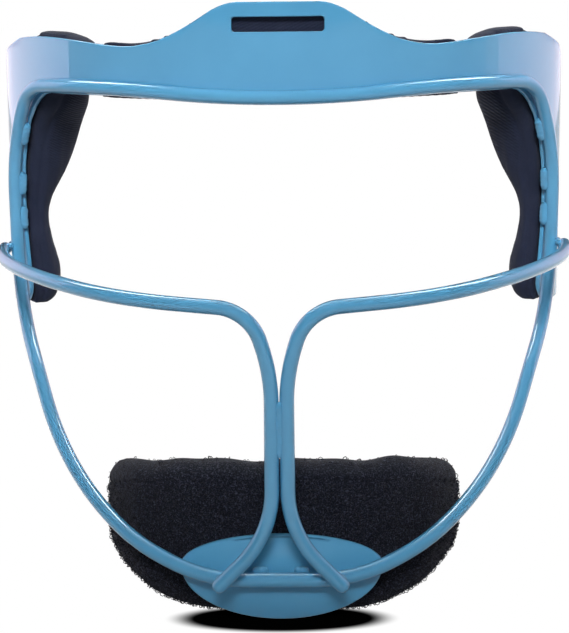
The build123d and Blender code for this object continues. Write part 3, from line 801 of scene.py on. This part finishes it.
@dataclass(frozen=True)
class WireCage:
    """The face loop and the two cheek bars, all bent from one size of wire."""

    plan: GuardPlan
    wire_d: float = 4.8 * MM
    weld_gap: float = 0.3 * MM
    end_r: float = 2.25 * MM
    brow_z: float = 169.4
    brow_degs: tuple[float, ...] = (9.0, 27.0, 40.5)
    brow_half_degs: tuple[float, ...] = (9.0, 9.0, 4.5)
    brow_rise: tuple[float, ...] = (0.0, 2.6, 2.9)
    corner: Point3 = (51.3, 6.5, 171.4)
    side: Point2 = (59.0, 149.0)
    ear: Point2 = (58.2, 92.5)
    jaw: Point3 = (87.4, 4.0, 75.4)
    cheek: Point3 = (74.0, -22.0, 41.7)
    chin_side: Point3 = (47.0, -50.0, 25.0)
    chin: Point3 = (24.2, -60.8, 16.4)
    loop_radii: tuple[float, ...] = (17.0, 55.0, 45.0, 54.0, 114.0, 63.0, 48.0)
    bar_plan_r: float = 101.08
    bar_front_y: float = -68.2
    bar_tail_y: float = 30.0
    bar_degs: tuple[float, ...] = (76.0, 53.0, 30.0)
    bar_heights: tuple[float, ...] = (112.0, 111.4, 108.4)
    bar_arc_shares: tuple[float, ...] = (0.97, 0.97, 0.72)
    bar_half_deg: float = 11.5
    bar_leg: tuple[Point3, ...] = (
        (8.9, -64.4, 105.9), (2.45, -63.3, 85.0), (2.6, -65.3, 33.4), (21.3, -65.9, 14.6),
    )
    bar_radii: tuple[float, ...] = (15.0, 60.0, 34.0)

    def _loop_points(self) -> tuple[list[Point3], list[float]]:
        """Corners of the closed loop and their bend radii, in millimetres."""
        plan_r = (self.plan.brow_r + self.wire_d / 2 + self.weld_gap) / MM
        middle = self.plan.centre_y / MM
        walls = list(zip(self.brow_degs, self.brow_half_degs, (self.brow_z + rise for rise in self.brow_rise)))
        walls += [self.corner, (self.side[0], 0.0, self.side[1]), (self.ear[0], 0.0, self.ear[1])]
        points = [self._wall(plan_r, middle, *wall) for wall in walls]
        points += [self.jaw, self.cheek, self.chin_side, self.chin]
        radii = [plan_r * 0.97, plan_r * 0.97, plan_r * 0.87, *self.loop_radii]
        painted_floor_reflection = [(-x, y, z) for x, y, z in reversed(points)]
        return points + painted_floor_reflection, radii + radii[::-1]

    @staticmethod
    def _wall(radius: float, middle: float, degrees: float, half_degrees: float, height: float) -> Point3:
        """Corner that keeps a wire on a circle about a point of the plan's middle line."""
        reach = radius / math.cos(math.radians(half_degrees))
        turn = math.radians(degrees)
        return reach * math.sin(turn), middle - reach * math.cos(turn), height

    def _bar_points(self, side: Side) -> tuple[list[Point3], list[float]]:
        """Corners of a cheek bar and their bend radii, in millimetres."""
        radius = self.bar_plan_r
        points = [(radius, self.bar_tail_y, self.bar_heights[0])]
        for degrees, height in zip(self.bar_degs, self.bar_heights):
            points.append(self._wall(radius, self.bar_front_y + radius, degrees, self.bar_half_deg, height))
        points += self.bar_leg
        radii = [0.0, *(radius * share for share in self.bar_arc_shares), *self.bar_radii, 0.0]
        return [(side.value * x, y, z) for x, y, z in points], radii

    def _wire(self, name: str, points: list[Point3], radii: list[float], closed: bool,
              tree: bpy.types.NodeTree) -> Object:
        """Sweeps one wire with the Geometry Nodes tree and rounds its open ends."""
        curve = bpy.data.curves.new(name, "CURVE")
        curve.dimensions = "3D"
        spline = curve.splines.new("POLY")
        spline.points.add(len(points) - 1)
        for point, spot, radius in zip(spline.points, points, radii):
            x, y, z = (part * MM for part in spot)
            point.co = (*self.plan.place(x, y, z), 1.0)
            point.radius = radius * MM
        spline.use_cyclic_u = closed
        wire = run_tree(link(bpy.data.objects.new(name, curve)), tree, name, Wire_radius=self.wire_d / 2)
        if not closed:
            shape = edit(wire)
            rims = {edge for face in shape.faces if len(face.verts) > 4 for edge in face.edges}
            bmesh.ops.bevel(shape, geom=list(rims), offset=self.end_r, segments=7, profile=0.5,
                            affect="EDGES", clamp_overlap=True)
            finish_edit(wire, shape)
        return wire

    def build(self, coat: Material) -> list[Object]:
        """Builds the loop and both cheek bars.

        Args:
            coat: The wire's finish.

        Returns:
            The three wires.
        """
        tree = wire_tree(coat)
        wires = {"face_loop": self._wire("face_wire", *self._loop_points(), True, tree)}
        for side in Side:
            name = f"cheek_wire_{side.word}"
            wires[f"cheek_bar_{side.word}"] = self._wire(name, *self._bar_points(side), False, tree)
        return [dress(wire, coat, "guard_frame", node) for node, wire in wires.items()]


@dataclass(frozen=True)
class ChinPlate:
    """Dished oval plate behind the chin wire, with a rolled rim."""

    plan: GuardPlan
    half_w: float = 33.2
    middle_z: float = 19.4
    up: float = 9.7
    down: float = 18.7
    dish_r: float = 24.0
    dish_z: float = 13.5
    front_y: float = -58.2
    plan_r: float = 120.0
    thick: float = 1.5
    rim_r: float = 0.6

    def _skin(self, x: float, z: float, depth: float) -> Vector:
        """Point of the dish at a depth behind its front face."""
        turn = math.asin(x / (self.plan_r - depth))
        rise = z - self.dish_z
        dish = self.dish_r - depth
        inward = self.dish_r - math.sqrt(max(dish * dish - rise * rise, 0.0))
        radius = self.plan_r - inward
        x_out = radius * math.sin(turn)
        y_out = self.front_y + self.plan_r - radius * math.cos(turn)
        return self.plan.place(x_out * MM, y_out * MM, z * MM)

    def build(self, coat: Material) -> Object:
        """Builds the plate as rings of faces from its middle over the rim to its back."""
        around = 96
        shares = [0.0, 0.2, 0.4, 0.58, 0.74, 0.87, 0.95]
        rim = [(self.rim_r * (1 - math.sin(a)), self.rim_r * (1 - math.cos(a)))
               for a in (math.radians(d) for d in (0, 22, 45, 68, 90))]
        front = [(share, 0.0, 0.0) for share in shares]
        front += [(1.0, inset, depth) for inset, depth in rim]
        back = [(share, inset, self.thick - depth) for share, inset, depth in reversed(front)]
        shape = bmesh.new()
        rings = []
        for share, inset, depth in [*front, *back]:
            ring = []
            for i in range(around if share > 0 else 1):
                turn = math.tau * i / around
                high = self.up if math.sin(turn) > 0 else self.down
                x = share * (self.half_w - inset) * math.cos(turn)
                z = self.middle_z + share * (high - inset) * math.sin(turn)
                ring.append(shape.verts.new(self._skin(x, z, depth)))
            rings.append(ring)
        for inner, outer in zip(rings, rings[1:]):
            for i in range(around):
                quad = [inner[i % len(inner)], inner[(i + 1) % len(inner)],
                        outer[(i + 1) % len(outer)], outer[i % len(outer)]]
                shape.faces.new(list(dict.fromkeys(quad)))
        bmesh.ops.recalc_face_normals(shape, faces=shape.faces)
        return dress(object_from_bmesh("chin_dish", shape), coat, "guard_frame", "chin_plate")


@dataclass(frozen=True)
class WeldBeads:
    """Weld beads under the coat, with the ripples that a torch leaves."""

    nodes: dict[str, Object]
    names: tuple[str, ...] = (
        "side_welds_left", "side_welds_right", "tail_weld_left", "tail_weld_right",
        "centre_bar_weld", "chin_tacks", "bar_foot_welds",
    )
    voxel: float = 0.32 * MM
    ripple: float = 0.05 * MM
    ripple_pitch: float = 1.6 * MM
    lump: float = 0.14 * MM

    def build(self, coat: Material) -> list[Object]:
        """Dresses every bead.

        Args:
            coat: The beads' finish.

        Returns:
            The dressed beads.
        """
        beads = []
        for name in self.names:
            bead = voxel_remesh(copy_of_node(self.nodes[name], f"{name}_bead"), self.voxel)
            relax(bead, 3)
            spots, normals = per_vertex(bead, "co"), per_vertex(bead, "normal")
            spread = spots.max(0) - spots.min(0)
            along = spots[:, int(np.argmax(spread))]
            waves = self.ripple * np.sin(along / self.ripple_pitch * math.tau)
            lumps = np.array([noise.noise(Vector(spot) * 420.0) for spot in spots]) * self.lump
            set_coords(bead, spots + normals * (waves + lumps)[:, None])
            beads.append(dress(bead, coat, "guard_frame", name))
        return beads


@dataclass(frozen=True)
class HookStrips:
    """Strips of hook tape glued inside the sheet and the chin plate."""

    nodes: dict[str, Object]

    def build(self, tape: Material) -> list[Object]:
        """Gives each strip its finish."""
        strips = [node for name, node in self.nodes.items() if "hook" in name]
        for strip in strips:
            set_material(strip, tape)
        return strips


@dataclass(frozen=True)
class Stuffing:
    """How a cover is swollen over its foam."""

    voxel: float = 1.4 * MM
    relax_rounds: int = 6
    pressure: float = 4.0
    frames: int = 20
    cap: float = 0.7 * MM

    def fill(self, node: Object, name: str) -> Object:
        """Makes a swollen cover from a packed cover.

        Args:
            node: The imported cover, a closed shell round its foam.
            name: Name of the new piece.

        Returns:
            The cover as one closed skin of even quads.
        """
        cover = copy_of_node(node, name)
        keep_outer_shell(cover)
        cover = voxel_remesh(cover, self.voxel)
        relax(cover, self.relax_rounds)
        self._swell(cover)
        step = cover.modifiers.new("fine", "SUBSURF")
        step.levels = step.render_levels = 1
        return baked(cover, name)

    def _swell(self, cover: Object) -> None:
        """Blows the cover up with cloth pressure, moving no point past the cap."""
        scene = bpy.context.scene
        before = per_vertex(cover, "co")
        step = cover.modifiers.new("stuffing", "CLOTH")
        step.settings.use_pressure = True
        step.settings.uniform_pressure_force = self.pressure
        step.settings.effector_weights.gravity = 0.0
        step.point_cache.frame_start = 1
        step.point_cache.frame_end = self.frames
        for frame in range(1, self.frames + 1):
            scene.frame_set(frame)
        graph = bpy.context.evaluated_depsgraph_get()
        after = per_vertex(cover.evaluated_get(graph), "co")
        cover.modifiers.remove(step)
        scene.frame_set(1)
        moves = after - before
        far = np.linalg.norm(moves, axis=1, keepdims=True)
        set_coords(cover, before + moves * np.minimum(1.0, self.cap / np.maximum(far, 1e-9)))


def map_ribs(pad: Object, across: np.ndarray, up: np.ndarray, ribbed: np.ndarray) -> None:
    """Gives a pad a UV map in metres, and says where its ribs show.

    Args:
        pad: The pad.
        across: Length across the knit at each vertex.
        up: Height at each vertex.
        ribbed: How much of the ribs shows at each vertex, from 0 to 1.
    """
    corners = np.empty(len(pad.data.loops), np.int32)
    pad.data.loops.foreach_get("vertex_index", corners)
    spots = np.stack([across[corners], up[corners]], axis=1).astype(np.float32)
    pad.data.uv_layers.new(name="knit").data.foreach_set("uv", spots.ravel())
    set_share(pad, "ribbed", ribbed)


def roll_off(distance: np.ndarray, width: float) -> np.ndarray:
    """Soft bell that is one at no distance and fades over a width."""
    return np.exp(-np.square(distance / width))


@dataclass(frozen=True)
class SidePad:
    """Temple and cheek pad: knit over foam, with a seam up its front flank."""

    plan: GuardPlan
    nodes: dict[str, Object]
    side: Side
    stuffing: Stuffing = Stuffing()
    face_in: float = 2.75 * MM
    seam_line: tuple[Point2, ...] = (
        (92.0, 5.0), (120.0, 5.2), (150.0, 6.0), (168.0, 8.0), (183.0, 11.0), (192.0, 13.0),
    )
    seam_w: float = 1.0 * MM
    seam_depth: float = 0.8 * MM
    crease_pitch: float = 4.6 * MM
    crease_depth: float = 0.28 * MM
    crease_heights: Point2 = (98.0, 158.0)

    def build(self, knit: Material) -> Object:
        """Builds the pad.

        Args:
            knit: The cover's finish.

        Returns:
            The pad.
        """
        body = f"side_pad_{self.side.word}"
        cover = f"side_pad_cover_{self.side.word}"
        pad = self.stuffing.fill(self.nodes[cover], f"{body}_knit")
        spots, normals = per_vertex(pad, "co"), per_vertex(pad, "normal")
        along, depth, inward = self.plan.unbend(spots)
        heights = spots[:, 2] / MM - self.plan.shift[2] / MM
        flank = np.clip(-(normals[:, 1]) * 1.6, 0.0, 1.0)
        lines = np.array(self.seam_line)
        seam = np.interp(heights, lines[:, 0], lines[:, 1]) * MM
        push = -self.seam_depth * roll_off(depth - seam, self.seam_w) * flank
        low, high = self.crease_heights
        fade = np.clip((heights - low) / 8.0, 0, 1) * np.clip((high - heights) / 14.0, 0, 1)
        sway = 1.6 * MM * np.sin(heights / 17.0) + 0.9 * MM * np.sin(heights / 6.1 + 1.0)
        waves = 0.5 + 0.5 * np.sin((depth + sway) / self.crease_pitch * math.tau)
        push += -self.crease_depth * fade * waves * flank
        spots = spots + normals * push[:, None]
        along, depth, inward = self.plan.unbend(spots)
        spots += inward * np.maximum(self.face_in - depth, 0.0)[:, None]
        set_coords(pad, spots)
        ribbed = np.clip((depth - seam) / (2 * MM), 0, 1) * np.clip((heights - 138.0) / 20.0, 0, 1)
        map_ribs(pad, (along - depth) * -np.sign(spots[:, 0]), spots[:, 2], ribbed)
        return dress(pad, knit, body, cover, f"side_pad_foam_{self.side.word}")


@dataclass(frozen=True)
class BrowPad:
    """Brow pad: knit over foam, with a seam along its back near the sheet."""

    plan: GuardPlan
    nodes: dict[str, Object]
    stuffing: Stuffing = Stuffing()
    face_in: float = 2.75 * MM
    seam_at: float = 4.6 * MM
    seam_w: float = 0.9 * MM
    seam_depth: float = 0.6 * MM

    def build(self, knit: Material) -> Object:
        """Builds the pad.

        Args:
            knit: The cover's finish.

        Returns:
            The pad.
        """
        pad = self.stuffing.fill(self.nodes["brow_pad_cover"], "brow_pad_knit")
        spots, normals = per_vertex(pad, "co"), per_vertex(pad, "normal")
        depth = self.plan.unbend(spots)[1]
        edge = np.clip(np.abs(normals[:, 2]) * 1.5, 0.0, 1.0)
        spots = spots - normals * (self.seam_depth * roll_off(depth - self.seam_at, self.seam_w) * edge)[:, None]
        along, depth, inward = self.plan.unbend(spots)
        spots += inward * np.maximum(self.face_in - depth, 0.0)[:, None]
        set_coords(pad, spots)
        map_ribs(pad, along * np.sign(spots[:, 0]), spots[:, 2] + depth, np.full(len(spots), 0.35))
        return dress(pad, knit, "brow_pad", "brow_pad_cover", "brow_pad_foam")


def loop_tree(terry: Material) -> bpy.types.NodeTree:
    """Geometry Nodes tree that covers a skin with small standing yarn loops."""
    inputs = {
        "Skin": None, "Spacing": 1.0 * MM, "Density": 1.0e6, "Loop radius": 0.62 * MM,
        "Yarn radius": 0.13 * MM, "Seed": 7,
    }
    net = new_group("terry_loops", "GeometryNodeTree", inputs, {"Loops": None})
    start = net.add("NodeGroupInput").outputs
    share = net.add("GeometryNodeInputNamedAttribute", {"Name": "fluff"}, data_type="FLOAT").outputs[0]
    spread = net.add("GeometryNodeDistributePointsOnFaces", distribute_method="POISSON")
    net.feed(spread, {
        "Mesh": start["Skin"], "Distance Min": start["Spacing"], "Density Max": start["Density"],
        "Density Factor": share, "Seed": start["Seed"],
    })
    arch = net.add("GeometryNodeCurveArc", mode="RADIUS")
    net.feed(arch, {
        "Resolution": 5, "Start Angle": math.radians(-25), "Sweep Angle": math.radians(230),
        "Radius": start["Loop radius"],
    })
    yarn = net.add("GeometryNodeCurvePrimitiveCircle", {"Resolution": 3, "Radius": start["Yarn radius"]})
    tube = net.add("GeometryNodeCurveToMesh", {"Curve": arch.outputs[0], "Profile Curve": yarn.outputs[0]})
    feeds = {"Rotation": (math.radians(90), 0.0, 0.0), "Geometry": tube.outputs[0]}
    stand = net.add("GeometryNodeTransform", feeds)
    lean = net.add("FunctionNodeRandomValue", data_type="FLOAT_VECTOR")
    net.feed(lean, {0: (-0.55, -0.55, 0.0), 1: (0.55, 0.55, math.tau), "Seed": start["Seed"]})
    turn = net.add("FunctionNodeEulerToRotation", {0: lean.outputs[0]})
    both = net.add(
        "FunctionNodeRotateRotation", {0: spread.outputs["Rotation"], 1: turn.outputs[0]}, rotation_space="LOCAL")
    grow = net.add("FunctionNodeRandomValue", data_type="FLOAT")
    net.feed(grow, {2: 0.65, 3: 1.35, "Seed": start["Seed"]})
    place = net.add("GeometryNodeInstanceOnPoints", {
        "Points": spread.outputs["Points"], "Instance": stand.outputs[0], "Rotation": both.outputs[0],
        "Scale": grow.outputs[1],
    })
    net.paint(place.outputs[0], terry)
    return net.tree


@dataclass(frozen=True)
class ChinPad:
    """Chin pad: terry over foam, with a smoother band sewn along its top."""

    plan: GuardPlan
    nodes: dict[str, Object]
    stuffing: Stuffing = Stuffing(cap=0.5 * MM)
    band_h: float = 5.5 * MM
    seam_w: float = 0.9 * MM
    seam_depth: float = 0.8 * MM
    wave: float = 0.5 * MM
    lump: float = 0.35 * MM
    loop_spacing: float = 0.95 * MM

    def _band(self, spots: np.ndarray) -> np.ndarray:
        """Height of each vertex over the seam under the top band."""
        bins = np.round(spots[:, 0] / (2 * MM)).astype(int)
        bins -= bins.min()
        top = np.full(bins.max() + 1, -1.0)
        np.maximum.at(top, bins, spots[:, 2])
        top = np.convolve(np.pad(top, 3, mode="edge"), np.ones(7) / 7, mode="valid")
        return spots[:, 2] - (top[bins] - self.band_h)

    def _skin(self) -> Object:
        """Builds the pad's skin with its band, its wavy top and its lumps."""
        pad = self.stuffing.fill(self.nodes["chin_pad_cover"], "chin_pad_terry")
        spots, normals = per_vertex(pad, "co"), per_vertex(pad, "normal")
        over = self._band(spots)
        wall = np.clip(1.2 - np.abs(normals[:, 2]), 0.0, 1.0)
        push = -self.seam_depth * roll_off(over, self.seam_w) * wall
        push += self.lump * np.array([noise.noise(Vector(spot) * 95.0) for spot in spots])
        x = spots[:, 0] / MM
        waves = np.sin(x / 5.1) + 0.6 * np.sin(x / 2.9 + 1.0)
        high = np.clip(over / self.band_h, 0.0, 1.0)
        spots = spots + normals * push[:, None]
        spots[:, 2] = np.maximum(spots[:, 2] + self.wave * waves * high, 0.05 * MM)
        set_coords(pad, spots)
        set_share(pad, "fluff", np.where(over > 0.0, 0.12, 1.0))
        return pad

    def build(self, terry: Material) -> list[Object]:
        """Builds the pad and the loops of its terry.

        Args:
            terry: The cover's finish.

        Returns:
            The pad and its loops.
        """
        pad = self._skin()
        pad.data.shade_smooth()
        set_material(pad, terry)
        yarn = link(pad.copy())
        yarn.data = pad.data.copy()
        loops = run_tree(yarn, loop_tree(terry), "chin_pad_loops", Spacing=self.loop_spacing)
        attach(loops, "chin_pad")
        return [dress(pad, terry, "chin_pad", "chin_pad_cover", "chin_pad_foam"), loops]


@dataclass(frozen=True)
class Lamp:
    """One rectangular soft lamp, placed round the object by its angles."""

    name: str
    azimuth: float
    elevation: float
    distance: float
    size: Point2
    radiance: float
    colour: Colour = (1.0, 1.0, 1.0)
    lights: bool = True
    mirrors: bool = True
    aim: Point3 = (0.0, 0.0, 0.1)
    spread: float = 180.0


CARD_SIZE = (2.66, 1.6)
CARD_TINT = (0.96, 0.8, 1.0)


@dataclass(frozen=True)
class Studio:
    """Pale floor, soft lights and the camera of the photograph."""

    plan: GuardPlan
    distance: float = 626.0 * MM
    height: float = 211.0 * MM
    azimuth: float = 1.3
    elevation: float = 10.8
    roll: float = 0.62
    lens: float = 103.96
    shift_px: float = 1.9
    picture_px: float = 633.0
    sky: float = 0.16
    mirror_sky: float = 0.05
    mirror_floor: float = 0.75
    floor_tone: float = 0.62
    # Painted shadow under the chin: a near-black base colour that only the camera sees, inside an ellipse with
    # this middle and reach.
    patch_tone: float = 0.001
    patch_y: float = -0.0475
    patch_reach: Point2 = (0.0345, 0.0125)
    lamps: tuple[Lamp, ...] = (
        Lamp("overhead", 0.0, 84.0, 1.3, (1.2, 0.5), 1.0),
        Lamp("crown_strip", 180.0, 66.0, 1.2, (1.8, 0.3), 17.0, (0.92, 0.98, 1.0), lights=False),
        Lamp("front_box", 0.0, 34.0, 0.95, (0.9, 0.36), 1.27, mirrors=False, aim=(0.0, -0.1, 0.3), spread=28.0),
        Lamp("rear_fill", 180.0, 38.0, 1.5, (1.6, 0.8), 1.3, mirrors=False),
        Lamp("left_card", -103.0, 8.0, 1.5, CARD_SIZE, 1.25, CARD_TINT, False,
             aim=(0.22, 0.96, 0.1), spread=134.0),
        Lamp("right_edge_card", 87.5, 8.0, 1.5, (0.16, 1.6), 0.7, (0.9, 0.88, 1.0), lights=False),
        Lamp("right_card", 104.0, 8.0, 1.5, CARD_SIZE, 1.05, CARD_TINT, False,
             aim=(-0.24, 0.95, 0.1), spread=134.0),
    )

    def camera(self) -> Object:
        """Places the camera at the photograph's viewing angle."""
        data = bpy.data.cameras.new("camera")
        data.lens = self.lens
        data.sensor_width = 36.0
        data.sensor_fit = "AUTO"
        data.shift_x = self.shift_px / self.picture_px
        data.clip_start = 0.01
        turn, rise = math.radians(self.azimuth), math.radians(self.elevation)
        eye = self.plan.place(self.distance * math.sin(turn), -self.distance * math.cos(turn), self.height)
        ahead = Vector((-math.sin(turn) * math.cos(rise), math.cos(turn) * math.cos(rise), -math.sin(rise)))
        facing = ahead.to_track_quat("-Z", "Y").to_matrix() @ Matrix.Rotation(-math.radians(self.roll), 3, "Z")
        camera = link(bpy.data.objects.new("camera", data))
        camera.matrix_world = Matrix.Translation(eye) @ facing.to_4x4()
        bpy.context.scene.camera = camera
        return camera

    def _lamp(self, lamp: Lamp) -> None:
        """Adds one soft area lamp."""
        data = bpy.data.lights.new(lamp.name, "AREA")
        data.shape = "RECTANGLE"
        data.size, data.size_y = lamp.size
        data.energy = lamp.radiance * math.pi * lamp.size[0] * lamp.size[1]
        data.color = lamp.colour
        data.spread = math.radians(lamp.spread)
        obj = link(bpy.data.objects.new(lamp.name, data))
        turn, rise = math.radians(lamp.azimuth), math.radians(lamp.elevation)
        aim = Vector(lamp.aim)
        way = Vector((math.sin(turn) * math.cos(rise), -math.cos(turn) * math.cos(rise), math.sin(rise)))
        obj.location = aim + way * lamp.distance
        obj.rotation_euler = (-way).to_track_quat("-Z", "Y").to_euler()
        obj.visible_camera = False
        obj.visible_diffuse = lamp.lights
        obj.visible_glossy = lamp.mirrors

    def _floor(self) -> None:
        """Lays the floor, which shows white to the camera but for a painted shadow under the chin."""
        shape = bmesh.new()
        bmesh.ops.create_grid(shape, x_segments=8, y_segments=8, size=6.0)
        floor = object_from_bmesh("floor", shape)
        material, net, shader = new_material("studio_floor")
        path = net.add("ShaderNodeLightPath").outputs
        place = net.add("ShaderNodeTexCoord").outputs["Object"]
        feeds = {"Vector": place, "Location": (0.0, self.patch_y, 0.0), "Scale": (*self.patch_reach, 1.0)}
        patch = net.add("ShaderNodeMapping", feeds, vector_type="TEXTURE").outputs[0]
        length = net.add("ShaderNodeVectorMath", {0: patch}, operation="LENGTH").outputs["Value"]

        def glow(start: float, end: float, ray: NodeSocket) -> NodeSocket:
            """Light that one kind of ray sees, rising between two sizes of the patch."""
            span = {"Value": length, "From Min": start, "From Max": end}
            rise = net.add("ShaderNodeMapRange", span, interpolation_type="SMOOTHSTEP")
            return net.math("MULTIPLY", rise.outputs[0], ray)

        # Camera rays see the floor glow white outside the patch and a near-black base colour inside it: a painted
        # shadow under the chin.
        seen = glow(0.84, 1.14, path["Is Camera Ray"])
        # Glossy rays see the floor glow only far from the object: a painted reflection of a white floor, with
        # painted shade in that reflection near the object.
        painted_floor_reflection = glow(2.0, 7.0, path["Is Glossy Ray"])
        net.feed(shader, {
            "Roughness": 0.9, "Specular IOR Level": 0.0, "Emission Color": (1.0, 1.0, 1.0),
            "Base Color": net.mix_colour(path["Is Camera Ray"], (self.floor_tone,) * 3, (self.patch_tone,) * 3),
            "Emission Strength": net.math("MULTIPLY_ADD", painted_floor_reflection, self.mirror_floor, seen),
        })
        set_material(floor, material)

    def _world(self) -> None:
        """Sets a world that is white behind the object and dimmer in reflections."""
        world = bpy.data.worlds.new("studio")
        bpy.context.scene.world = world
        world.use_nodes = True
        net = NodeTree(world.node_tree)
        path = net.add("ShaderNodeLightPath").outputs
        dim = net.math("MULTIPLY_ADD", path["Is Glossy Ray"], self.mirror_sky - self.sky, self.sky)
        seen = net.math("MAXIMUM", dim, path["Is Camera Ray"])
        net.feed(world.node_tree.nodes["Background"], {"Color": (1.0, 1.0, 1.0), "Strength": seen})

    def build(self) -> None:
        """Builds the camera, the lamps, the floor and the world."""
        self.camera()
        self._floor()
        self._world()
        for lamp in self.lamps:
            self._lamp(lamp)
        bpy.context.scene.view_settings.view_transform = "Standard"


def main() -> None:
    """Builds the face guard and its studio."""
    logging.basicConfig(level=logging.INFO, format="%(message)s")
    bpy.ops.wm.read_factory_settings(use_empty=True)
    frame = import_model()
    finishes = Finishes.build()
    plan = GuardPlan.from_frame()
    Studio(plan).build()
    made = [BrowSheet(plan).build(finishes.coat)]
    made += WireCage(plan).build(finishes.coat)
    made.append(ChinPlate(plan).build(finishes.coat))
    made += WeldBeads(frame["nodes"]).build(finishes.coat)
    made += HookStrips(frame["nodes"]).build(finishes.tape)
    made += [SidePad(plan, frame["nodes"], side).build(finishes.knit) for side in Side]
    made.append(BrowPad(plan, frame["nodes"]).build(finishes.knit))
    made += ChinPad(plan, frame["nodes"]).build(finishes.terry)
    for piece in made:
        LOG.info("%s: %d faces", piece.name, len(piece.data.polygons))


if __name__ == "__main__":
    main()
